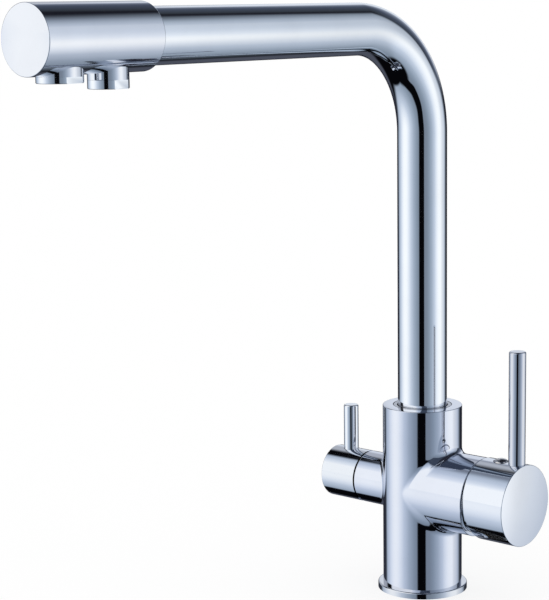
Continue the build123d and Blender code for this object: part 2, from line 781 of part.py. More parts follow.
def mixer_lever():
    seat = lever_seat(hub_radius, lever_radius) + seat_gap
    shape = soften(disc(lever_radius, seat, lever_top), lever_radius, lever_top, 2 * edge_radius)
    shape += disc(lever_root_radius, seat - lever_root_length, seat)
    return Pos(lever_offset, 0, 0) * shape


def mixer_grub_screw():
    low = mixer_height + stem_height / 2 + seat_gap
    shape = drill(grub_radius, (grub_offset, 0, low), (grub_offset, 0, low + grub_length))
    return shape - Pos(grub_offset, 0, low + grub_length - 2.5) * hexagon(2.5, 0, 3)


def index_plug():
    """A round stopper over the grub screw, with a shallow domed head."""
    low = mixer_height + hub_radius - index_depth + seat_gap
    high = mixer_height + hub_radius + index_rise
    crown = (index_radius ** 2 + index_rise ** 2) / (2 * index_rise)
    dome = Pos(0, 0, high - crown) * Sphere(crown)
    return Pos(grub_offset, 0, 0) * (disc(index_radius, low, high) & dome)


# Filter valve --------------------------------------------------------------------------------------------

def headwork():
    shape = disc(valve_radius, headwork_start, hex_start)
    shape += hexagon(headwork_hex, hex_start, hex_start + headwork_hex_height)
    shape += disc(headwork_neck_radius, hex_start + headwork_hex_height, headwork_neck_end)
    shape -= disc(headwork_bore, headwork_start - 1, headwork_shoulder)
    shape -= disc(spindle_radius + running_fit, headwork_shoulder - 1, headwork_neck_end + 1)
    shape -= ring(valve_radius + 1, valve_radius - 1.2, chamber_end + 0.8, chamber_end + 2.1)
    shape = on_filter(shape)
    window = chamber_end - 1.3
    return shape - drill(window_radius, (-window, 0, filter_height - 12), (-window, 0, filter_height + 12))


def headwork_packing():
    return on_filter(packing_ring(valve_radius - 1.2 + seat_gap, valve_radius + seat_gap,
                                  chamber_end + 0.8 + seat_gap, chamber_end + 2.1 - seat_gap))


def seat_washer():
    return on_filter(ring(headwork_bore - slip_fit, headwork_bore - 3, seat_washer_start,
                          seat_washer_start + seat_washer_height))


def valve_disc(floor, radius):
    """A ceramic disc with two openings, one on each side, and solid between them."""
    shape = disc(radius, floor, floor + valve_disc_height)
    for side in (-valve_way_offset, valve_way_offset):
        shape -= Pos(0, side, 0) * disc(valve_way_radius, floor - 1, floor + valve_disc_height + 1)
    return shape


def filter_fixed_disc():
    return on_filter(valve_disc(valve_disc_floor, headwork_bore - slip_fit))


def filter_moving_disc():
    return on_filter(Rot(0, 0, 90) * valve_disc(valve_moving_floor, headwork_bore - 4 * slip_fit))


def filter_spindle():
    shape = disc(spindle_flange_radius, spindle_flange_start, headwork_shoulder - seat_gap * 2)
    shape += disc(spindle_radius, spindle_flange_start, spindle_end)
    return on_filter(shape)


def spindle_clip():
    low = headwork_neck_end + seat_gap
    shape = ring(clip_radius, spindle_radius + seat_gap, low, low + clip_thickness)
    return on_filter(shape - block((0, clip_radius + 1), (-1.5, 1.5), (low - 1, low + clip_thickness + 1)))


def filter_hub():
    shape = soften(disc(filter_branch_radius, filter_hub_start, filter_hub_end), filter_branch_radius,
                   filter_hub_end, edge_radius)
    shape -= disc(filter_branch_radius - filter_hub_wall, filter_hub_start - 1, filter_hub_cavity)
    shape -= disc(spindle_radius + seat_gap, filter_hub_cavity - 1, spindle_end + 0.5)
    shape = on_filter(shape)
    seat = filter_lever_seat()
    shape -= drill(filter_lever_radius + slip_fit, (-filter_lever_offset, 0, seat),
                   (-filter_lever_offset, 0, filter_height + filter_branch_radius + 1))
    shape -= drill(filter_root_radius + seat_gap, (-filter_lever_offset, 0, seat - filter_root_length - 0.4),
                   (-filter_lever_offset, 0, seat + 1))
    return shape - drill(filter_grub_radius + seat_gap,
                         (-filter_grub_offset, 0, filter_height - filter_branch_radius - 1),
                         (-filter_grub_offset, 0, filter_height))


def filter_lever_seat():
    return filter_height + math.sqrt(filter_branch_radius ** 2 - (filter_lever_radius + slip_fit) ** 2) - 0.2


def filter_lever():
    seat = filter_lever_seat() + seat_gap
    shape = soften(disc(filter_lever_radius, seat, filter_lever_top), filter_lever_radius, filter_lever_top,
                   2 * edge_radius)
    shape += disc(filter_root_radius, seat - filter_root_length, seat)
    return Pos(-filter_lever_offset, 0, 0) * shape


def filter_grub_screw():
    high = filter_height - spindle_radius - seat_gap
    shape = drill(filter_grub_radius, (-filter_grub_offset, 0, high - filter_grub_length),
                  (-filter_grub_offset, 0, high))
    return shape - Pos(-filter_grub_offset, 0, high - filter_grub_length - 1) * hexagon(2, 0, 3)


parts = {
    "base_ring": base_ring(),
    "base_seal": base_seal(),
    "horseshoe_washer": horseshoe(washer_radius, washer_top, washer_thickness),
    "horseshoe_plate": horseshoe(plate_radius, plate_top, plate_thickness),
    "fixing_stud": fixing_stud(),
    "fixing_nut": fixing_nut(),
    "body": body(),
    "swivel_ring": swivel_ring(),
    "spout_retaining_screw": retaining_screw(),
    "spout_pipe": spout_pipe(),
    "spout_foot": spout_foot(),
    "spout_packing": spout_packing(),
    "filter_tube": filter_tube(),
    "filter_tube_plug": filter_plug(),
    "filter_plug_packing": filter_plug_packing(),
    "outlet_housing": outlet_housing(),
    "outlet_manifold": manifold(),
    "manifold_packing": manifold_packing(),
    "mains_nozzle": mains_nozzle(),
    "mains_washer": outlet_packing(mains_reach, mains_neck_radius),
    "aerator_insert": aerator_insert(),
    "filter_nozzle": filter_nozzle(),
    "filter_nozzle_washer": outlet_packing(filter_reach, filter_neck_radius),
    "filter_straightener": filter_straightener(),
    "cartridge_base": cartridge_base(),
    "cartridge_port_seals": port_seals(),
    "cartridge_fixed_disc": fixed_disc(),
    "cartridge_moving_disc": moving_disc(),
    "cartridge_disc_driver": disc_driver(),
    "cartridge_housing": cartridge_housing(),
    "cartridge_guide": cartridge_guide(),
    "cartridge_pivot_pin": guide_pin(),
    "cartridge_stem": cartridge_stem(),
    "cartridge_nut": cartridge_nut(),
    "cover_dome": cover_dome(),
    "mixer_hub": mixer_hub(),
    "mixer_lever": mixer_lever(),
    "mixer_grub_screw": mixer_grub_screw(),
    "index_plug": index_plug(),
    "filter_headwork": headwork(),
    "filter_headwork_packing": headwork_packing(),
    "filter_seat_washer": seat_washer(),
    "filter_fixed_disc": filter_fixed_disc(),
    "filter_moving_disc": filter_moving_disc(),
    "filter_spindle": filter_spindle(),
    "filter_spindle_clip": spindle_clip(),
    "filter_hub": filter_hub(),
    "filter_lever": filter_lever(),
    "filter_grub_screw": filter_grub_screw(),
}

os.makedirs("parts", exist_ok=True)
for name, shape in parts.items():
    export_step(shape, "parts/" + name + ".step")
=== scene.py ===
import math

import bmesh
import bpy
import numpy as np
from mathutils import Matrix, Vector


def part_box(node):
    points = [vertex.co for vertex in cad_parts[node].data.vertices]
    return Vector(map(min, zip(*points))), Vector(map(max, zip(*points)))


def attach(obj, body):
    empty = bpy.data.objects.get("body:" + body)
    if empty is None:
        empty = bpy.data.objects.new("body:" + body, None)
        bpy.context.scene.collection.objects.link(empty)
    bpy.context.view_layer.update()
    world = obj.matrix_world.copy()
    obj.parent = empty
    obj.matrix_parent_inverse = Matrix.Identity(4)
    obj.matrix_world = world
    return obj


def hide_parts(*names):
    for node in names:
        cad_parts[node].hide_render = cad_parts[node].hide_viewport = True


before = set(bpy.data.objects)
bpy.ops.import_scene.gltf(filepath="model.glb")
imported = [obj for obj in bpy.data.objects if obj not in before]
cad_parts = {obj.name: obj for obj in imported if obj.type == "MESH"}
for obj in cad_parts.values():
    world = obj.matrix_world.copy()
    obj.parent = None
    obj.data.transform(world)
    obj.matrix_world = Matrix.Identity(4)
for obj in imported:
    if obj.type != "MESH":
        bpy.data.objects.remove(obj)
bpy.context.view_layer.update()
mm = 0.001


# Photographer's table: a white floor and a white room for the eye, and round the tap a light tent of two tall
# pale panels, left and right, with a dark slot between them on the camera's side, a dark ceiling and a dark
# table edge. The bright metal shows the tent, and everything else is lit by a plain even white.

camera_azimuth = math.radians(42.0)
camera_elevation = math.radians(9.2)
camera_roll = math.radians(-0.8)
camera_distance = 1050.5 * mm
camera_aim = Vector((-0.0624, -0.0562, 0.1698))
camera_lens = 110.9
film_width = 36
far_clip = 50

towards = Vector((math.sin(camera_azimuth), -math.cos(camera_azimuth), 0))
sideways = Vector((math.cos(camera_azimuth), math.sin(camera_azimuth), 0))
back = towards * math.cos(camera_elevation) + Vector((0, 0, math.sin(camera_elevation)))
over = back.cross(sideways)
right = sideways * math.cos(camera_roll) + over * math.sin(camera_roll)
up = over * math.cos(camera_roll) - sideways * math.sin(camera_roll)

camera_data = bpy.data.cameras.new("camera")
camera_data.lens = camera_lens
camera_data.sensor_width = film_width
camera_data.sensor_fit = "AUTO"
camera_data.clip_end = far_clip
camera = bpy.data.objects.new("camera", camera_data)
bpy.context.scene.collection.objects.link(camera)
camera_turn = Matrix((right, up, back)).transposed().to_4x4()
camera.matrix_world = Matrix.Translation(camera_aim + back * camera_distance) @ camera_turn
bpy.context.scene.camera = camera
bpy.context.scene.view_settings.view_transform = "Standard"


class Graph:
    """The nodes of one material or world. add() makes a node and hands back its first output. Its inputs are
    named as on the node, with _ for a space, or by number, as i0."""

    def __init__(self, owner):
        owner.use_nodes = True
        self.tree = owner.node_tree
        self.tree.nodes.clear()

    def add(self, kind, settings=None, **sockets):
        node = self.tree.nodes.new(kind)
        for name, value in (settings or {}).items():
            if name == "stops":
                for stop, (place, colour) in zip(spare_stops(node.color_ramp, len(value)), value):
                    stop.position = place
                    stop.color = (*colour, 1)
            else:
                setattr(node, name, value)
        for name, value in sockets.items():
            key = int(name[1:]) if name[1:].isdigit() else name.replace("_", " ")
            if isinstance(value, Socket):
                self.tree.links.new(value.end, node.inputs[key])
            else:
                node.inputs[key].default_value = value
        return Socket(self, node, 0) if node.outputs else None


class Socket:
    """A node's output in sums: each operator on it adds a Math node."""

    def __init__(self, graph, node, output):
        self.graph = graph
        self.node = node
        self.end = node.outputs[output]

    def __getitem__(self, output):
        return Socket(self.graph, self.node, output)

    def maths(self, operation, *others):
        values = {"i" + str(k): value for k, value in enumerate((self, *others))}
        return self.graph.add("ShaderNodeMath", {"operation": operation}, **values)

    def __add__(self, other):
        return self.maths("ADD", other)

    def __radd__(self, other):
        return self.maths("ADD", other)

    def __sub__(self, other):
        return self.maths("SUBTRACT", other)

    def __rsub__(self, other):
        return (self * -1).maths("ADD", other)

    def __mul__(self, other):
        return self.maths("MULTIPLY", other)

    def __truediv__(self, other):
        return self.maths("DIVIDE", other)

    def size(self):
        return self.maths("ABSOLUTE")

    def between(self, low, high):
        """0 below low and 1 above high, with a soft step from one to the other."""
        settings = {"interpolation_type": "SMOOTHSTEP"}
        return self.graph.add("ShaderNodeMapRange", settings, Value=self, From_Min=low, From_Max=high)


def spare_stops(ramp, count):
    """A colour ramp's stops, as many as are asked for."""
    while len(ramp.elements) < count:
        ramp.elements.new(0.5)
    return ramp.elements


def mix(graph, share, first, second):
    """Colour that goes from the first to the second as share goes from 0 to 1."""
    return graph.add("ShaderNodeMix", {"data_type": "RGBA"}, Factor=share, i6=first, i7=second)[2]


white = (1.0, 1.0, 1.0, 1)
tent_black = (0.002, 0.002, 0.003, 1)
tent_shade = (0.022, 0.024, 0.036, 1)
tent_slate = (0.05, 0.066, 0.1, 1)
tent_grey = (0.075, 0.083, 0.11, 1)
tent_haze = (0.2, 0.23, 0.29, 1)
tent_pale = (0.48, 0.51, 0.57, 1)
panel_glow = [(0.0, (0.18, 0.22, 0.28)), (0.35, (0.22, 0.27, 0.34)), (0.5, (0.27, 0.335, 0.42)),
              (0.7, (0.4, 0.475, 0.58)), (0.86, (0.6, 0.68, 0.8)), (0.95, (0.86, 0.92, 1.0)),
              (1.0, (1.05, 1.08, 1.1))]
far_glow = [(0.5, (0.012, 0.013, 0.02)), (0.56, (0.035, 0.042, 0.055)), (0.75, (0.068, 0.085, 0.125)),
            (0.86, (0.155, 0.18, 0.24)), (0.93, (0.29, 0.33, 0.42)), (1.0, (0.75, 0.8, 0.88))]

world = bpy.data.worlds.new("studio")
bpy.context.scene.world = world
sky = Graph(world)
ray = sky.add("ShaderNodeTexCoord")


def along(direction):
    """How far a ray of length 1 goes in a direction."""
    dot = sky.add("ShaderNodeVectorMath", {"operation": "DOT_PRODUCT"}, i0=ray, i1=direction)
    return dot[1]


# Where a ray from the tap points, as parts of its length: across to the right, in depth behind the tap, and
# in height. An edge in the tent is given by two such places, where it starts and where it is complete.
least = 0.001             # to divide by
middle_edge = (-0.06, 0.06)
level_edge = (0.0, 0.1)
across = along(sideways)
depth = along(-towards)
height = along((0, 0, 1))
drop = height * -1.0
behind = depth.maths("MAXIMUM", 0)
reach = across.size().maths("MAXIMUM", least)
slope = height / reach
on_right = across.between(*middle_edge)
on_left = 1 - on_right
above = height.between(*level_edge)


def either(share, first, second):
    """The first number where share is 0 and the second where it is 1."""
    return first + share * (second - first)


# The panels glow more the further they reach to the side. The glow gains below, in front on the right, and
# high up and in front on the left. It loses a little at the far end on the right, and behind the tap there.
rise_gain = 0.25
front_gain = -0.45
drop_gain = -0.1
right_gain = 0.04
right_gain_edge = (-0.5, 0.0)
loss_heights = (-0.25, 0.3)
loss_depths = (-0.2, 0.05)
loss_reach = 0.89
dim_depths = (0.0, 0.2)
dim_share = 0.15
gain_left = above * on_left * (height * rise_gain + (depth * front_gain).maths("MAXIMUM", 0))
gain_below = (height * drop_gain).maths("MAXIMUM", 0)
gain_front = on_right * (1 - depth.between(*right_gain_edge)) * right_gain
loss = height.between(*loss_heights) * on_right * depth.between(*loss_depths)
loss = loss * (reach - loss_reach).maths("MAXIMUM", 0)
strength = reach + (gain_left + gain_below + gain_front) - loss
glow = sky.add("ShaderNodeValToRGB", {"stops": panel_glow}, Fac=strength)
glow = mix(sky, on_right * depth.between(*dim_depths) * dim_share, glow, tent_black)

# The panels' edges: high up the left one ends sooner, at its top and behind the tap, and low down the right
# one ends sooner behind the tap but runs lower. The slot between them leans.
left_top = (1.25, 2.0)
right_top = (1.6, 2.5)
right_top_drop = (-0.3, 0.05)
foot_edge = (0.89, 0.94)
foot_rise = 0.5
left_back_low = (0.76, 0.94)
left_back_lean = 0.6
right_back_low = (0.45, 0.75)
left_back_high = (0.22, 0.36)
right_back_high = (0.4, 0.5)
right_fade = (0.1, 0.42)
right_fade_share = 0.2
slot_left = (-0.36, -0.28)
slot_right = (0.06, 0.1)
slot_lean_above = 0.2
slot_lean_low = 0.08
slot_lean_drops = (0.25, 0.6)
slot_return = 0.1
slot_return_drops = (0.78, 0.93)
under_top = 1 - either(on_right, slope.between(*left_top),
                       (slope + depth.between(*right_top_drop)).between(*right_top))
over_foot = 1 - (drop + behind * on_left * foot_rise).between(*foot_edge)
back_low = either(on_right, 1 - (depth - height * left_back_lean).between(*left_back_low),
                  1 - depth.between(*right_back_low))
faded = 1 - depth.between(*right_fade) * right_fade_share
back_high = either(on_right, 1 - depth.between(*left_back_high),
                   faded * (1 - depth.between(*right_back_high)))
slot_place = across - above * slot_lean_above - drop.between(*slot_lean_drops) * slot_lean_low
slot_place = slot_place + drop.between(*slot_return_drops) * slot_return
slot = slot_place.between(*slot_left) * (1 - slot_place.between(*slot_right))
lit = under_top * over_foot * either(above, back_low, back_high) * (1 - slot)

# Round the panels: black towards the camera, a slate ceiling with a pale haze on the left, and a room behind
# the tap that is paler higher up.
far_shift = 0.1
far_heights = (0.45, 0.62)
far_left_edge = (0.54, 0.74)
ceiling_edge = (0.84, 0.92)
ceiling_end = (0.2, 0.34)
haze_start = (0.785, 0.812)
haze_end = (0.86, 0.9)
haze_depths = (0.1, 0.3)
haze_gap_start = (0.7, 0.78)
haze_gap_end = (0.9, 0.98)
least_depth = 0.05
dusk_heights = (-0.4, -0.25)
dark_heights = (-0.74, -0.6)
dark_depths = (0.68, 0.8)
far_right = sky.add("ShaderNodeValToRGB", {"stops": far_glow},
                    Fac=depth + far_shift - height.between(*far_heights) * far_shift)
far_left = mix(sky, depth.between(*far_left_edge), tent_black, tent_pale)
ceiling = mix(sky, height.between(*ceiling_edge), tent_slate, tent_shade)
sidewise = reach / depth.maths("MAXIMUM", least_depth)
haze_gap = sidewise.between(*haze_gap_start) * (1 - sidewise.between(*haze_gap_end))
hazy = height.between(*haze_start) * (1 - height.between(*haze_end)) * on_left * (1 - haze_gap)
room_high = mix(sky, depth.between(*ceiling_end), ceiling, mix(sky, on_right, far_left, far_right))
room_high = mix(sky, hazy * depth.between(*haze_depths), room_high, tent_haze)
room_low = mix(sky, height.between(*dusk_heights), tent_grey, tent_shade)
room_low = mix(sky, height.between(*dark_heights) * depth.between(*dark_depths), tent_black, room_low)
tent = mix(sky, lit, mix(sky, above, room_low, room_high), glow)
is_glossy = sky.add("ShaderNodeLightPath")[3]
shown = mix(sky, is_glossy, white, tent)
sky.add("ShaderNodeOutputWorld", Surface=sky.add("ShaderNodeBackground", Color=shown, Strength=1.0))

floor_size = 12.0
floor_glow = 0.8          # share of the floor's own white that the camera sees, next to its lit paper


def deselect():
    bpy.ops.object.select_all(action="DESELECT")


deselect()
bpy.ops.mesh.primitive_plane_add(size=floor_size, location=(0, 0, 0))
floor = bpy.context.object
floor.name = "floor"
paper = Graph(bpy.data.materials.new("paper"))
is_camera = paper.add("ShaderNodeLightPath")[0]
matt = paper.add("ShaderNodeBsdfDiffuse", Color=white)
bright = paper.add("ShaderNodeEmission", Color=white, Strength=1.0)
seen = paper.add("ShaderNodeMixShader", Fac=floor_glow, i1=matt, i2=bright)
shade = paper.add("ShaderNodeMixShader", Fac=is_camera, i1=matt, i2=seen)
paper.add("ShaderNodeOutputMaterial", Surface=shade)
floor.data.materials.append(bpy.data.materials["paper"])
floor.visible_glossy = False


# Base ring: a flat ring turned from brass and chromed, with a rounded top edge and a groove below for its
# rubber seal. The body stands on it and its spigot goes through it.

fine = 192                # flats round a large turned piece
ring_edge = 0.8 * mm
groove_depth = 1.6 * mm
groove_inner = 22.4 * mm
groove_outer = 24.6 * mm
slip_fit = 0.1 * mm
hair = 0.01 * mm          # less than any real distance between two corners
spigot_radius = 20.2 * mm
chrome_colour = (0.88, 0.9, 0.93, 1)
# The base ring's chrome is a darker copy of the chrome colour: painted shade.
ring_painted_shade_chrome = (0.77, 0.78, 0.81, 1)
crisp_angle = 35          # degrees between two faces, past which their edge stays crisp
wiped_share = 0.965       # of the plate's brightness where it is wiped dull


def choose(*things):
    """Selects these objects and no others, and makes the first one active."""
    deselect()
    for thing in things:
        thing.select_set(True)
    bpy.context.view_layer.objects.active = things[0]


def settle(thing):
    """Writes the object's place and turn into its mesh."""
    choose(thing)
    bpy.ops.object.transform_apply(location=True, rotation=True, scale=True)
    return thing


def edit(thing, action):
    """Goes into edit mode on the object, with all of its edges selected (SELECT) or none (DESELECT)."""
    choose(thing)
    bpy.ops.object.mode_set(mode="EDIT")
    bpy.ops.mesh.select_mode(type="EDGE")
    bpy.ops.mesh.select_all(action=action)


def pick(thing, test, open_only=False):
    """Goes into edit mode with the edges selected whose two ends pass the test, or the open ones of them."""
    edit(thing, "DESELECT")
    mesh = bmesh.from_edit_mesh(thing.data)
    for edge in mesh.edges:
        wanted = edge.is_boundary or not open_only
        edge.select_set(wanted and all(test(corner.co) for corner in edge.verts))
    bmesh.update_edit_mesh(thing.data)


def leave():
    """Back from edit mode."""
    bpy.ops.object.mode_set(mode="OBJECT")


def draw_out(shift=(0, 0, 0), scale=(1, 1, 1), centre=(0, 0, 0)):
    """Extrudes the selected loop, moves it and scales it about a centre."""
    bpy.ops.mesh.extrude_region_move(TRANSFORM_OT_translate={"value": shift})
    if tuple(scale) != (1, 1, 1):
        bpy.ops.transform.resize(value=scale, center_override=centre)


def round_edges(thing, test, width, steps=4):
    """Rounds the edges whose two ends pass the test."""
    pick(thing, test)
    bpy.ops.mesh.bevel(offset=width, segments=steps, profile=0.5, affect="EDGES", offset_type="OFFSET")
    leave()


def turned(name, origin, axis, outline, hollow=False, segments=fine):
    """Turns a piece as on a lathe. Its outline is a list of (radius, place along the axis), with the width of
    the rounding as a third number at a rounded corner. A hollow piece's end is joined to its start."""
    deselect()
    bpy.ops.mesh.primitive_circle_add(vertices=segments, radius=outline[0][0], location=(0, 0, 0))
    thing = bpy.context.object
    thing.name = name
    bpy.ops.object.mode_set(mode="EDIT")
    bpy.ops.transform.translate(value=(0, 0, outline[0][1]))
    for (before, last, *_), (radius, place, *_) in zip(outline, outline[1:]):
        share = radius / before
        draw_out((0, 0, place - last), (share, share, 1))
    bpy.ops.mesh.select_mode(type="EDGE")
    bpy.ops.mesh.select_all(action="DESELECT")
    bpy.ops.mesh.select_non_manifold()
    if hollow:
        bpy.ops.mesh.bridge_edge_loops()
    else:
        bpy.ops.mesh.fill_holes(sides=0)
    bpy.ops.mesh.select_all(action="SELECT")
    bpy.ops.mesh.normals_make_consistent(inside=False)
    leave()
    for radius, place, *edge in outline:
        if edge:
            round_edges(thing, lambda co: abs(math.hypot(co.x, co.y) - radius) < hair
                        and abs(co.z - place) < hair, edge[0])
    thing.rotation_mode = "QUATERNION"
    thing.rotation_quaternion = Vector(axis).to_track_quat("Z", "Y")
    thing.location = origin
    return settle(thing)


def modify(thing, kind, **settings):
    """Adds a modifier, sets it and applies it."""
    bpy.context.view_layer.objects.active = thing
    modifier = thing.modifiers.new(kind.lower(), kind)
    for name, value in settings.items():
        setattr(modifier, name, value)
    bpy.ops.object.modifier_apply(modifier=modifier.name)


def smooth(thing):
    """Smooth shading with crisp edges."""
    choose(thing)
    bpy.ops.object.shade_smooth_by_angle(angle=math.radians(crisp_angle))


def polish(thing):
    """Smooth shading that keeps flat faces flat beside rounded edges."""
    smooth(thing)
    modify(thing, "WEIGHTED_NORMAL", keep_sharp=True, weight=50)


def dress(thing, body, material, slot_name, *replaced):
    """Gives a finished piece its material and the body it moves with."""
    thing.data.materials.clear()
    thing.data.materials.append(material)
    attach(thing, body)
    if replaced:
        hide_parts(*replaced)


def chrome(name, tint=chrome_colour, gloss=0.035):
    """Polished chrome plate: a clear mirror with a faint haze of wiping marks and the least ripple."""
    material = bpy.data.materials.new(name)
    graph = Graph(material)
    object_place = graph.add("ShaderNodeTexCoord")[3]
    haze = graph.add("ShaderNodeTexNoise", Vector=object_place, Scale=38.0, Detail=4.0, Roughness=0.6)
    wipes = graph.add("ShaderNodeTexNoise", Vector=object_place, Scale=260.0, Detail=2.0)
    ripple = graph.add("ShaderNodeTexNoise", Vector=object_place, Scale=90.0, Detail=1.0)
    roughness = gloss + haze.between(0.45, 0.8) * 0.03 + wipes * 0.012
    darker = tuple(value * wiped_share for value in tint[:3]) + (1,)
    colour = mix(graph, haze.between(0.35, 0.75), tint, darker)
    bump = graph.add("ShaderNodeBump", Height=ripple, Strength=0.015, Distance=0.4 * mm)
    surface = graph.add("ShaderNodeBsdfPrincipled", Base_Color=colour, Metallic=1.0, Roughness=roughness,
                        Normal=bump)
    graph.add("ShaderNodeOutputMaterial", Surface=surface)
    return material


ring_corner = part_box("base_ring")[1]
ring_radius = ring_corner.x
ring_top = ring_corner.z
base_ring = turned("base_ring_turned", (0, 0, 0), (0, 0, 1), [
    (spigot_radius + slip_fit, 0), (spigot_radius + slip_fit, ring_top), (ring_radius, ring_top, ring_edge),
    (ring_radius, 0), (groove_outer, 0), (groove_outer, groove_depth), (groove_inner, groove_depth),
    (groove_inner, 0)], hollow=True)
polish(base_ring)
dress(base_ring, "base", chrome("painted_shade_plate_ring", ring_painted_shade_chrome), "chrome_plate", "base_ring")


# Fixing kit: a rubber seal in the base ring's groove, and below the deck a brass stud and nut that clamp a
# rubber washer and a zinc plated steel plate, both shaped like a horseshoe, against the deck.

clouded_share = 0.86      # of a plain finish's brightness in its clouds


def plain_finish(name, colour, roughness, metallic=0.0, grain=400.0, relief=0.05 * mm):
    """A material without polish: cloudy in colour and gloss, with a fine grain of its own."""
    material = bpy.data.materials.new(name)
    graph = Graph(material)
    object_place = graph.add("ShaderNodeTexCoord")[3]
    cloud = graph.add("ShaderNodeTexNoise", Vector=object_place, Scale=70.0, Detail=4.0, Roughness=0.6)
    grains = graph.add("ShaderNodeTexNoise", Vector=object_place, Scale=grain, Detail=2.0)
    darker = tuple(value * clouded_share for value in colour) + (1,)
    shade = mix(graph, cloud.between(0.35, 0.7), (*colour, 1), darker)
    bump = graph.add("ShaderNodeBump", Height=grains, Strength=0.35, Distance=relief)
    surface = graph.add("ShaderNodeBsdfPrincipled", Base_Color=shade, Metallic=metallic,
                        Roughness=roughness + cloud.between(0.3, 0.8) * 0.1 + grains * 0.05, Normal=bump)
    graph.add("ShaderNodeOutputMaterial", Surface=surface)
    return material


def coat(material, *names):
    """Gives CAD nodes that are shown as they are their material."""
    for name in names:
        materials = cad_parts[name].data.materials
        materials.clear()
        materials.append(material)


rubber = plain_finish("black_rubber", (0.02, 0.02, 0.022), 0.55, grain=900.0, relief=0.1 * mm)
brass = plain_finish("plain_brass", (0.76, 0.6, 0.32), 0.2, metallic=1.0, grain=700.0)
zinc = plain_finish("zinc_plated_steel", (0.68, 0.68, 0.66), 0.34, metallic=1.0, grain=250.0, relief=0.1 * mm)
coat(rubber, "base_seal", "horseshoe_washer")
coat(zinc, "horseshoe_plate")
coat(brass, "fixing_stud", "fixing_nut")


# Body: one brass casting, turned, bored and chromed. A thick branch for the mixer cartridge leaves it to the
# right and a thinner one for the filter valve to the left, both with a rounded crease.

body_low, body_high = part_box("body")
body_radius = body_high.y
body_top = body_high.z
body_edge = 0.4 * mm
seat_gap = 0.05 * mm      # between two pieces that sit on each other
ring_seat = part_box("swivel_ring")[0].z - seat_gap
ring_seat_radius = 16.9 * mm
bore_radius = 15.0 * mm
bore_floor = 84.0 * mm
plug_radius = 4.56 * mm
plug_floor = 72.0 * mm
branch_end = body_high.x
branch_radius = 22.5 * mm
branch_lean = 3.0 * mm    # how far the lower half of the branch's end leans back at the bottom
lean_start = 3.0 * mm     # below the branch's axis
mixer_height = sum(corner.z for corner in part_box("cartridge_base")) / 2
mouth_radius = 20.6 * mm
mouth_floor = 36.0 * mm
cavity_radius = 17.6 * mm
cavity_floor = 12.5 * mm
filter_branch_end = 38.9 * mm
filter_branch_radius = 15.1 * mm
filter_branch_wall = 1.7 * mm
filter_height = sum(corner.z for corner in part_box("filter_hub")) / 2
valve_shoulder = 30.0 * mm
valve_radius = 9.6 * mm
valve_floor = 12.5 * mm
blend_radius = 3.5 * mm
blend_swell = 8.0 * mm    # how much softer the mixer branch's crease is at its front and back than on top
branches = ((1, branch_radius, mixer_height, blend_swell), (-1, filter_branch_radius, filter_height, 0))
port_radius = 4.5 * mm
port_depth = 9.0 * mm
ports = [(-2.0 * mm, 9.4 * mm), (-2.0 * mm, -9.4 * mm), (-11.0 * mm, 0)]
stud_radius = 4.0 * mm
stud_offset = 11.5 * mm
stud_depth = 15.0 * mm
screw_radius = 2.55 * mm
screw_height = 95.5 * mm
# The body's chrome is a darker, bluer copy of the chrome colour: painted shade.
body_painted_shade_chrome = (0.77, 0.79, 0.86, 1)
plain = 96                # flats round a small turned piece
skin_grain = 0.8 * mm     # size of the faces that the skin is made of
first_turn = 0.25         # radians, of the search for the nearest ball, and how often it is halved
halvings = 18
tiny = 1e-9               # keeps a division from failing
spare = 4.0 * mm          # length that is cut off again once the skin has its true shape
beyond = 1.0 * mm         # how far a cutter reaches past the metal
weld_distance = 0.001 * mm
cut_slack = 0.0001 * mm


def bar(name, radius, start, end, segments=fine):
    """A plain round bar between two points, to join or cut with."""
    line = Vector(end) - Vector(start)
    return turned(name, start, line, [(radius, 0), (radius, line.length)], segments=segments)


def body_skin(points):
    """For points near the body's skin, the nearest points of its true shape and the outward normals there.
    That shape is the body's cylinder, its two branches, and the path of a ball that rolls in each crease."""
    x, y, z = points.T
    from_body = np.hypot(x, y) + tiny
    normal = np.stack([x / from_body, y / from_body, 0 * z], 1)
    place = np.stack([x / from_body * body_radius, y / from_body * body_radius, z], 1)
    for side, radius, level, swell in branches:

        def ball(turn):
            """The ball's radius and middle, at a turn about the branch."""
            blend = blend_radius + swell * np.sin(turn) ** 2
            away = (radius + blend) * np.sin(turn)
            return blend, np.stack([side * np.sqrt((body_radius + blend) ** 2 - away ** 2), away,
                                    level + (radius + blend) * np.cos(turn)], 1)

        def power(turn):
            """Least at the turn where the ball comes nearest to a point."""
            blend, middle = ball(turn)
            return ((points - middle) ** 2).sum(1) - blend ** 2

        turn = np.arctan2(y, z - level)
        for halving in range(halvings):
            for step in (first_turn * 0.5 ** halving, -first_turn * 0.5 ** halving):
                turn = np.where(power(turn + step) < power(turn), turn + step, turn)
        blend, middle = ball(turn)
        offset = points - middle
        spread = np.linalg.norm(offset, axis=1)[:, None] + tiny
        on_body = np.stack([middle[:, 0], middle[:, 1], 0 * x], 1) / (body_radius + blend)[:, None]
        on_side = np.stack([0 * x, np.sin(turn), np.cos(turn)], 1)
        slant = (on_body * on_side).sum(1)
        first = -(offset * on_body).sum(1)
        second = -(offset * on_side).sum(1)
        creased = (x * side > 0) & (first > slant * second) & (second > slant * first)
        from_side = np.hypot(y, z - level) + tiny
        branch = (x * side > 0) & (from_side - radius < from_body - body_radius)
        side_normal = np.stack([0 * x, y / from_side, (z - level) / from_side], 1)
        side_place = np.stack([x, y / from_side * radius, level + (z - level) / from_side * radius], 1)
        normal = np.where(branch[:, None], side_normal, normal)
        place = np.where(branch[:, None], side_place, place)
        normal = np.where(creased[:, None], -offset / spread, normal)
        place = np.where(creased[:, None], middle + offset / spread * blend[:, None], place)
    return place, normal


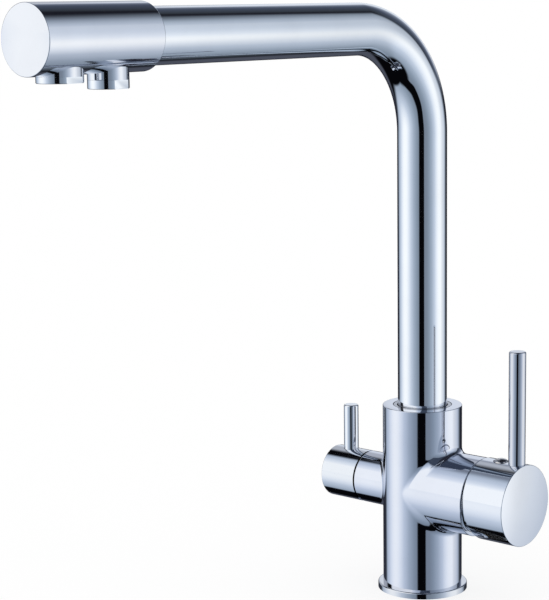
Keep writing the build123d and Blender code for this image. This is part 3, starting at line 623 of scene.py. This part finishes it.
def combine(thing, operation, *others):
    """Adds the other pieces' space to the thing (UNION), or takes it away (DIFFERENCE)."""
    choose(*others)
    bpy.ops.object.join()
    modify(thing, "BOOLEAN", operation=operation, object=others[0], solver="EXACT")
    bpy.data.objects.remove(others[0])


def cut_off(thing, place, direction):
    """Cuts away what lies beyond a plane; the cut's edge stays selected, in edit mode."""
    edit(thing, "SELECT")
    bpy.ops.mesh.bisect(plane_co=place, plane_no=direction, clear_outer=True, threshold=cut_slack)


def follow(direction, centre, start, stations):
    """Draws the selected rim on through (radius, shift) steps along a direction."""
    radius = start
    for next_radius, shift in stations:
        share = next_radius / radius
        scale = [1 if value else share for value in direction]
        draw_out([value * shift for value in direction], scale, centre)
        radius = next_radius


def close_end():
    """Closes the selected rim with one face."""
    bpy.ops.mesh.edge_face_add()
    leave()


def tidy_normals(thing):
    """Merges doubled points and turns every face outwards."""
    edit(thing, "SELECT")
    bpy.ops.mesh.remove_doubles(threshold=weld_distance)
    bpy.ops.mesh.normals_make_consistent(inside=False)
    leave()


def rounding(radius, width, steps=4):
    """Steps of a quarter-round edge that turns from a wall to its end face."""
    stations = []
    for k in range(1, steps + 1):
        before, after = (math.radians(90 * n / steps) for n in (k - 1, k))
        shift = width * (math.sin(after) - math.sin(before))
        stations.append((radius - width * (1 - math.cos(after)), shift))
    return stations


def true_normals(thing, surface, near=0.03 * mm, agree=0.93):
    """Gives the corners that lie on a known round surface, and whose face agrees with it, its exact normals,
    and keeps the others."""
    mesh = thing.data
    places = np.empty(len(mesh.vertices) * 3)
    mesh.vertices.foreach_get("co", places)
    corners = np.empty(len(mesh.loops), int)
    mesh.loops.foreach_get("vertex_index", corners)
    at = places.reshape(-1, 3)[corners]
    faces = np.empty(len(mesh.polygons) * 3)
    mesh.polygons.foreach_get("normal", faces)
    totals = np.empty(len(mesh.polygons), int)
    mesh.polygons.foreach_get("loop_total", totals)
    face_normals = np.repeat(faces.reshape(-1, 3), totals, axis=0)
    place, exact = surface(at)
    known = (np.linalg.norm(place - at, axis=1) < near) & ((face_normals * exact).sum(1) > agree)
    mesh.normals_split_custom_set(np.where(known[:, None], exact, 0).tolist())


body = bar("body_casting", body_radius, (0, 0, ring_top - spare), (0, 0, body_top + spare))
arms = [bar("branch", branch_radius, (0, 0, mixer_height), (branch_end + spare, 0, mixer_height)),
        bar("filter_branch", filter_branch_radius, (0, 0, filter_height),
            (-filter_branch_end - spare, 0, filter_height))]
choose(body, *arms)
bpy.ops.object.join()
modify(body, "REMESH", mode="VOXEL", voxel_size=skin_grain)
rough = np.empty(len(body.data.vertices) * 3)
body.data.vertices.foreach_get("co", rough)
body.data.vertices.foreach_set("co", body_skin(rough.reshape(-1, 3))[0].ravel())
cut_off(body, (0, 0, ring_top), (0, 0, -1))
follow((0, 0, -1), (0, 0, ring_top), body_radius, [
    (spigot_radius, 0), (spigot_radius, ring_top - body_low.z)])
close_end()
cut_off(body, (0, 0, body_top - body_edge), (0, 0, 1))
follow((0, 0, 1), (0, 0, body_top), body_radius, rounding(body_radius, body_edge) + [
    (ring_seat_radius, 0), (ring_seat_radius, ring_seat - body_top), (bore_radius, 0),
    (bore_radius, bore_floor - ring_seat), (plug_radius, 0), (plug_radius, plug_floor - bore_floor)])
close_end()
branch_slant = Vector((branch_radius - lean_start, 0, -branch_lean)).normalized()
for direction in (Vector((1, 0, 0)), branch_slant):
    cut_off(body, (branch_end - body_edge, 0, mixer_height - lean_start), direction)
    leave()
pick(body, lambda co: co.x > mouth_floor, open_only=True)
on_branch = (0, 0, mixer_height)
follow((1, 0, 0), on_branch, branch_radius, rounding(branch_radius, body_edge) + [(mouth_radius, 0)])
draw_out(scale=(0, 1, 1), centre=(mouth_floor, 0, mixer_height))
follow((1, 0, 0), on_branch, mouth_radius, [(cavity_radius, 0), (cavity_radius, cavity_floor - mouth_floor)])
close_end()
on_filter = (0, 0, filter_height)
cut_off(body, (-filter_branch_end + body_edge, 0, filter_height), (-1, 0, 0))
follow((-1, 0, 0), on_filter, filter_branch_radius, rounding(filter_branch_radius, body_edge) + [
    (filter_branch_radius - filter_branch_wall, 0),
    (filter_branch_radius - filter_branch_wall, valve_shoulder - filter_branch_end), (valve_radius, 0),
    (valve_radius, valve_floor - valve_shoulder)])
close_end()
tidy_normals(body)
drills = [bar("inlet", port_radius, (x, y, 0), (x, y, body_low.z + port_depth), plain) for x, y in ports]
drills.append(bar("stud_hole", stud_radius, (stud_offset, 0, 0),
                  (stud_offset, 0, body_low.z + stud_depth), plain))
drills.append(bar("screw_hole", screw_radius, (0, bore_radius - beyond, screw_height),
                  (0, body_radius + beyond, screw_height), plain))
combine(body, "DIFFERENCE", *drills)
smooth(body)
true_normals(body, body_skin)
dress(body, "base", chrome("painted_shade_plate_body", body_painted_shade_chrome), "chrome_plate", "body")


# Mixer cartridge: moulded plastic round two ceramic discs, held in the branch by a brass nut. Its stem, guide
# and moving disc follow the lever, and three rubber rings seal its ports.

steel = plain_finish("stainless_steel", (0.66, 0.66, 0.66), 0.22, metallic=1.0, grain=600.0)
grey_plastic = plain_finish("grey_plastic", (0.45, 0.46, 0.48), 0.42)
white_plastic = plain_finish("white_plastic", (0.86, 0.86, 0.84), 0.4)
ceramic = plain_finish("white_ceramic", (0.93, 0.92, 0.89), 0.08, grain=1200.0, relief=0.01 * mm)
coat(grey_plastic, "cartridge_base", "cartridge_housing")
coat(white_plastic, "cartridge_guide", "cartridge_disc_driver")
coat(ceramic, "cartridge_fixed_disc", "cartridge_moving_disc")
coat(rubber, "cartridge_port_seals")
coat(steel, "cartridge_pivot_pin")
coat(brass, "cartridge_stem", "cartridge_nut")


# Filter valve: a brass headwork screwed into the left branch, with a spindle that turns one ceramic disc on
# another.

coat(brass, "filter_headwork", "filter_spindle")
coat(ceramic, "filter_fixed_disc", "filter_moving_disc")
coat(rubber, "filter_headwork_packing", "filter_seat_washer")
coat(steel, "filter_spindle_clip")


# Swivel ring: a thin ring turned from brass, chromed and pressed into the body's rim. The spout turns in it,
# with a narrow gap round the pipe.

ring_low, ring_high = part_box("swivel_ring")
pipe_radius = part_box("spout_pipe")[1].x
ring_gap = 0.45 * mm      # between the ring and the pipe
ring_play = 0.15 * mm     # and between the ring and the body's rim
# The swivel ring's chrome is a much darker copy of the chrome colour: painted shade.
shaded_chrome = (0.38, 0.39, 0.43, 1)
swivel_ring = turned("swivel_ring_turned", (0, 0, 0), (0, 0, 1), [
    (ring_high.x - ring_play, ring_low.z), (ring_high.x - ring_play, ring_high.z, body_edge),
    (pipe_radius + ring_gap, ring_high.z, body_edge), (pipe_radius + ring_gap, ring_low.z)], hollow=True)
polish(swivel_ring)
dress(swivel_ring, "base", chrome("chrome_in_shade", shaded_chrome, gloss=0.1), "chrome_plate", "swivel_ring")


# Spout pipe: 28 mm brass tube, bent square once on a mandrel and chromed. It is soldered to a foot that turns
# in the body.

pipe_low, pipe_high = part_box("spout_pipe")
plate = chrome("chrome_plate")
pipe_wall = 1.2 * mm
bend_radius = 58.3 * mm
bend_steps = 60
spout_height = pipe_high.z - pipe_radius

deselect()
bpy.ops.mesh.primitive_circle_add(vertices=fine, radius=pipe_radius, location=(0, 0, pipe_low.z))
pipe = settle(bpy.context.object)
pipe.name = "spout_pipe_bent"
bpy.ops.object.mode_set(mode="EDIT")
draw_out((0, 0, spout_height - bend_radius - pipe_low.z))
bpy.ops.mesh.spin(steps=bend_steps, angle=math.radians(90), axis=(-1, 0, 0),
                  center=(0, -bend_radius, spout_height - bend_radius))
draw_out((0, pipe_low.y + bend_radius, 0))
leave()
tidy_normals(pipe)
modify(pipe, "SOLIDIFY", thickness=pipe_wall, offset=-1, use_even_offset=True)
polish(pipe)
dress(pipe, "spout", plate, "chrome_plate", "spout_pipe")


# Inside the spout: a brass foot with two packing rings that turns in the body, and a thin milky tube of its
# own for the filtered water, from a brass plug in the foot to the outlet manifold.

milky_plastic = plain_finish("clear_plastic_tube", (0.8, 0.82, 0.82), 0.25, grain=150.0)
coat(steel, "spout_retaining_screw")
coat(brass, "spout_foot", "filter_tube_plug")
coat(rubber, "spout_packing", "filter_plug_packing")
coat(milky_plastic, "filter_tube")


# Outlet housing: a wider chromed sleeve soldered over the pipe's end, closed at the tip, with two round
# bosses below it that the outlet nozzles screw into.

housing_low, housing_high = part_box("outlet_housing")
housing_radius = housing_high.x
housing_wall = 1.55 * mm
housing_end_wall = 3.5 * mm
housing_lip = 0.7 * mm    # rounding of the edge over the pipe
housing_bore = housing_radius - housing_wall
pipe_socket = pipe_radius + slip_fit / 2
mains_low, mains_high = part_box("mains_nozzle")
filter_low, filter_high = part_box("filter_nozzle")
mains_radius = mains_high.y / 2 - mains_low.y / 2
filter_radius = filter_high.y / 2 - filter_low.y / 2
mains_place = (mains_high.y + mains_low.y) / 2
filter_place = (filter_high.y + filter_low.y) / 2
mains_neck = 9.2 * mm
filter_neck = 6.7 * mm
mains_collar = 3.0 * mm   # height of the collar with the flats
filter_collar = 4.2 * mm
boss_depth = 9.0 * mm     # below the housing's axis
boss_top = spout_height - boss_depth
# The outlet housing's chrome is a darker copy of the chrome colour: painted shade.
housing_painted_shade_chrome = (0.82, 0.83, 0.87, 1)


def round_surface(*rods):
    """For points near straight round rods, given as (centre, axis, radius), the nearest rod's skin there."""

    def surface(points):
        best = np.full(len(points), np.inf)
        place = points.copy()
        normal = np.zeros_like(points)
        for centre, axis, radius in rods:
            line = np.array(Vector(axis).normalized())
            offset = points - np.array(centre)
            offset = offset - (offset @ line)[:, None] * line
            length = np.linalg.norm(offset, axis=1) + tiny
            nearer = np.abs(length - radius) < best
            best = np.where(nearer, np.abs(length - radius), best)
            direction = offset / length[:, None]
            place = np.where(nearer[:, None], points + direction * (radius - length)[:, None], place)
            normal = np.where(nearer[:, None], direction, normal)
        return place, normal

    return surface


housing = turned("outlet_housing_turned", (0, 0, spout_height), (0, -1, 0), [
    (housing_radius, -housing_high.y, housing_lip), (housing_radius, -housing_low.y, body_edge)])
bosses = [bar("boss", radius, (0, place, low.z + collar), (0, place, boss_top))
          for radius, place, low, collar in ((mains_radius, mains_place, mains_low, mains_collar),
                                             (filter_radius, filter_place, filter_low, filter_collar))]
combine(housing, "UNION", *bosses)
combine(housing, "DIFFERENCE", turned("housing_bore", (0, 0, spout_height), (0, -1, 0), [
    (pipe_socket, -housing_high.y - beyond), (pipe_socket, -pipe_low.y), (housing_bore, -pipe_low.y),
    (housing_bore, -housing_low.y - housing_end_wall)]))
combine(housing, "DIFFERENCE", *[
    bar("neck_hole", radius + slip_fit, (0, place, housing_low.z - beyond), (0, place, spout_height))
    for radius, place in ((mains_neck, mains_place), (filter_neck, filter_place))])
smooth(housing)
true_normals(housing, round_surface(
    ((0, 0, spout_height), (0, 1, 0), housing_radius), ((0, mains_place, 0), (0, 0, 1), mains_radius),
    ((0, filter_place, 0), (0, 0, 1), filter_radius)))
dress(housing, "spout", chrome("painted_shade_plate_housing", housing_painted_shade_chrome), "chrome_plate", "outlet_housing")


# Outlet nozzles: chromed brass collars screwed up into the bosses, the wide one for mixed water and the small
# one for filtered water, each with two flats for a spanner.

nozzle_wall = 1.2 * mm
nozzle_lip = 0.9 * mm
mouth_widening = 0.3 * mm
flat_share = 0.9          # of the collar's radius that is left between its flats

for name, low, radius, place, neck, collar in (
        ("mains_nozzle", mains_low, mains_radius, mains_place, mains_neck, mains_collar),
        ("filter_nozzle", filter_low, filter_radius, filter_place, filter_neck, filter_collar)):
    joint = low.z + collar - seat_gap
    inner = neck - nozzle_wall
    mouth = inner - nozzle_wall + mouth_widening
    nozzle = turned(name + "_turned", (0, place, 0), (0, 0, 1), [
        (inner, boss_top), (inner, low.z + nozzle_lip), (mouth, low.z + nozzle_lip), (mouth, low.z),
        (radius, low.z, body_edge), (radius, joint), (neck, joint), (neck, boss_top)], hollow=True)
    flats = []
    for side in (-1, 1):
        deselect()
        bpy.ops.mesh.primitive_cube_add(size=1,
                                        location=(side * radius * (1 + flat_share) / 2, place, low.z),
                                        scale=(radius * (1 - flat_share), 2 * radius, 3 * collar))
        flats.append(settle(bpy.context.object))
    combine(nozzle, "DIFFERENCE", *flats)
    smooth(nozzle)
    true_normals(nozzle, round_surface(((0, place, 0), (0, 0, 1), radius)))
    dress(nozzle, "spout", plate, "chrome_plate", name)


# Inside the outlets: the manifold that keeps the two waters apart, its packing ring and washers, and the two
# plastic inserts that make the water run smoothly.

coat(grey_plastic, "outlet_manifold")
coat(white_plastic, "aerator_insert", "filter_straightener")
coat(rubber, "manifold_packing", "mains_washer", "filter_nozzle_washer")


# Cover dome: a thin chromed cap, part of a sphere about the cartridge's pivot, that hides the cartridge in
# the gap between the branch and the mixer hub.

dome_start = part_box("cover_dome")[0].x
pivot = 31.0 * mm         # of the cartridge's stem, from the body's axis
dome_radius = 24.0 * mm
dome_wall = 1.4 * mm
dome_opening = 14.2 * mm
dome_foot = 20.4 * mm
dome_steps = 14


def sphere_steps(radius, start, end):
    """(radius, place) steps along a sphere about the pivot, from one distance from the axis to another."""
    first, last = (math.asin(distance / radius) for distance in (start, end))
    angles = [first + (last - first) * k / dome_steps for k in range(dome_steps + 1)]
    return [(radius * math.sin(angle), pivot + radius * math.cos(angle)) for angle in angles]


dome = turned("cover_dome_spun", on_branch, (1, 0, 0), [(dome_foot, dome_start)]
              + sphere_steps(dome_radius, dome_foot, dome_opening)
              + sphere_steps(dome_radius - dome_wall, dome_opening, dome_foot - dome_wall)
              + [(dome_foot - dome_wall, dome_start)], hollow=True)
polish(dome)
dress(dome, "base", plate, "chrome_plate", "cover_dome")


# Mixer hub: a thick cup cast in zinc and chromed, on the cartridge's stem. Its rear edge leans away from the
# branch lower down, which leaves room to tip it.

hub_low, hub_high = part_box("mixer_hub")
hub_radius = hub_high.y
hub_start = hub_low.x
hub_end = hub_high.x
hub_wall = 2.0 * mm
hub_end_wall = 4.5 * mm
hub_lean = 3.4 * mm       # of the rear edge at the bottom
hub_lean_start = 16.0 * mm
hub_boss_radius = 6.0 * mm
hub_boss_start = 52.5 * mm
lever_place = sum(corner.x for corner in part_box("mixer_lever")) / 2
lever_radius = 4.7 * mm
lever_root = 3.3 * mm
lever_root_length = 10.0 * mm
lever_boss = 5.6 * mm
lever_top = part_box("mixer_lever")[1].z
lever_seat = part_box("mixer_lever")[0].z + lever_root_length
index_place = sum(corner.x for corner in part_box("index_plug")) / 2
index_radius = 4.5 * mm
index_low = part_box("index_plug")[0].z
index_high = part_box("index_plug")[1].z
grub_boss = 3.4 * mm
grub_radius = 2.55 * mm
stem_half_width = 3.55 * mm
stem_half_height = 3.05 * mm
stem_end = 60.8 * mm
root_gap = 4 * slip_fit   # below the root of a lever
# The mixer hub's chrome is a darker copy of the chrome colour: painted shade.
mixer_hub_painted_shade_chrome = (0.82, 0.84, 0.89, 1)

hub = turned("mixer_hub_cast", on_branch, (1, 0, 0), [
    (hub_radius, hub_start), (hub_radius, hub_end, body_edge)])
hub_slant = Vector((-hub_radius - hub_lean_start, 0, -hub_lean)).normalized()
cut_off(hub, (hub_start, 0, mixer_height + hub_lean_start), hub_slant)
close_end()
cavity = bar("cavity", hub_radius - hub_wall, (hub_start - beyond, 0, mixer_height),
             (hub_end - hub_end_wall, 0, mixer_height))
combine(cavity, "DIFFERENCE", bar("stem_boss", hub_boss_radius, (hub_boss_start, 0, mixer_height),
                                  (hub_end, 0, mixer_height)))
wall_middle = mixer_height + hub_radius - hub_wall / 2
combine(cavity, "DIFFERENCE",
        bar("grub_boss", grub_boss, (index_place, 0, mixer_height), (index_place, 0, wall_middle), plain),
        bar("lever_boss", lever_boss, (lever_place, 0, mixer_height), (lever_place, 0, wall_middle), plain))
combine(hub, "DIFFERENCE", cavity)
deselect()
bpy.ops.mesh.primitive_cube_add(size=1, location=((hub_boss_start + stem_end) / 2 - beyond, 0, mixer_height),
                                scale=(stem_end - hub_boss_start + 2 * beyond, 2 * stem_half_width,
                                       2 * stem_half_height))
stem_hole = settle(bpy.context.object)
combine(hub, "DIFFERENCE", stem_hole)
hole_top = mixer_height + hub_radius + beyond
combine(hub, "DIFFERENCE",
        turned("lever_hole", (lever_place, 0, 0), (0, 0, 1), [
            (lever_root + seat_gap, lever_seat - lever_root_length - root_gap),
            (lever_root + seat_gap, lever_seat), (lever_radius + slip_fit, lever_seat),
            (lever_radius + slip_fit, hole_top)], segments=plain),
        turned("index_hole", (index_place, 0, 0), (0, 0, 1), [
            (grub_radius, mixer_height + stem_half_height), (grub_radius, index_low),
            (index_radius + seat_gap, index_low), (index_radius + seat_gap, hole_top)], segments=plain))
smooth(hub)
true_normals(hub, round_surface((on_branch, (1, 0, 0), hub_radius)))
dress(hub, "mixer_handle", chrome("painted_shade_plate_mixer_hub", mixer_hub_painted_shade_chrome), "chrome_plate", "mixer_hub")
coat(steel, "mixer_grub_screw")


# Mixer lever: a round rod turned from brass, polished and chromed. Its thinner root is screwed into the hub's
# top, and its upper end has a rounded edge.

lever_edge = 2 * body_edge
# The mixer lever's chrome is a darker copy of the chrome colour: painted shade.
lever_painted_shade_chrome = (0.70, 0.71, 0.76, 1)
lever = turned("mixer_lever_turned", (lever_place, 0, 0), (0, 0, 1), [
    (lever_root, lever_seat - lever_root_length), (lever_root, lever_seat), (lever_radius, lever_seat),
    (lever_radius, lever_top, lever_edge)], segments=plain)
polish(lever)
dress(lever, "mixer_handle", chrome("painted_shade_plate_lever", lever_painted_shade_chrome), "chrome_plate", "mixer_lever")


# Index plug: a small plastic stopper, silver plated, with a domed head. It is pressed into the hub's top over
# the grub screw, and a narrow gap is left round its head.

index_foot = 1.0 * mm
index_edge = index_high - 1.5 * mm
index_crown = 2.1 * mm
index_gap = 0.35 * mm
index_silver = (0.62, 0.6, 0.6, 1)
crown_steps = 8
crown = [((index_radius - index_gap) * math.cos(math.radians(90 * k / crown_steps)) + hair,
          index_edge + index_crown * math.sin(math.radians(90 * k / crown_steps)))
         for k in range(crown_steps + 1)]
index_plug = turned("index_plug_pressed", (index_place, 0, 0), (0, 0, 1), [
    (index_radius, index_low), (index_radius, index_low + index_foot),
    (index_radius - index_gap, index_low + index_foot)] + crown, segments=plain)
polish(index_plug)
dress(index_plug, "mixer_handle", chrome("index_silver", index_silver, gloss=0.08), "index_plastic",
      "index_plug")


# Filter hub and lever: the small handle that turns to let filtered water through. The hub is a chromed cup on
# the headwork's spindle, and the rod is screwed into its top.

knob_low, knob_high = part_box("filter_hub")
knob_wall = 2.2 * mm
knob_cavity = 45.0 * mm
spindle_hole = 4.0 * mm
spindle_end = 54.5 * mm
knob_grub_place = -49.5 * mm
knob_grub_radius = 2.05 * mm
# The filter hub's chrome is a darker copy of the chrome colour: painted shade.
filter_hub_painted_shade_chrome = (0.81, 0.83, 0.87, 1)
rod_low, rod_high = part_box("filter_lever")
rod_radius = rod_high.y
rod_place = (rod_low.x + rod_high.x) / 2
rod_root = 2.9 * mm
rod_root_length = 7.0 * mm
rod_seat = rod_low.z + rod_root_length
knob = turned("filter_hub_turned", on_filter, (-1, 0, 0), [
    (spindle_hole, spindle_end), (spindle_hole, knob_cavity), (filter_branch_radius - knob_wall, knob_cavity),
    (filter_branch_radius - knob_wall, -knob_high.x), (filter_branch_radius, -knob_high.x),
    (filter_branch_radius, -knob_low.x, body_edge)])
combine(knob, "DIFFERENCE",
        turned("rod_hole", (rod_place, 0, 0), (0, 0, 1), [
            (rod_root + seat_gap, rod_low.z - root_gap), (rod_root + seat_gap, rod_seat),
            (rod_radius + slip_fit, rod_seat),
            (rod_radius + slip_fit, filter_height + filter_branch_radius + beyond)], segments=plain),
        bar("grub_hole", knob_grub_radius,
            (knob_grub_place, 0, filter_height - filter_branch_radius - beyond),
            (knob_grub_place, 0, filter_height), plain))
smooth(knob)
true_normals(knob, round_surface((on_filter, (1, 0, 0), filter_branch_radius)))
dress(knob, "filter_handle", chrome("painted_shade_plate_filter_hub", filter_hub_painted_shade_chrome), "chrome_plate", "filter_hub")

rod = turned("filter_lever_turned", (rod_place, 0, 0), (0, 0, 1), [
    (rod_root, rod_low.z), (rod_root, rod_seat), (rod_radius, rod_seat),
    (rod_radius, rod_high.z, lever_edge)], segments=plain)
polish(rod)
dress(rod, "filter_handle", plate, "chrome_plate", "filter_lever")
coat(steel, "filter_grub_screw")
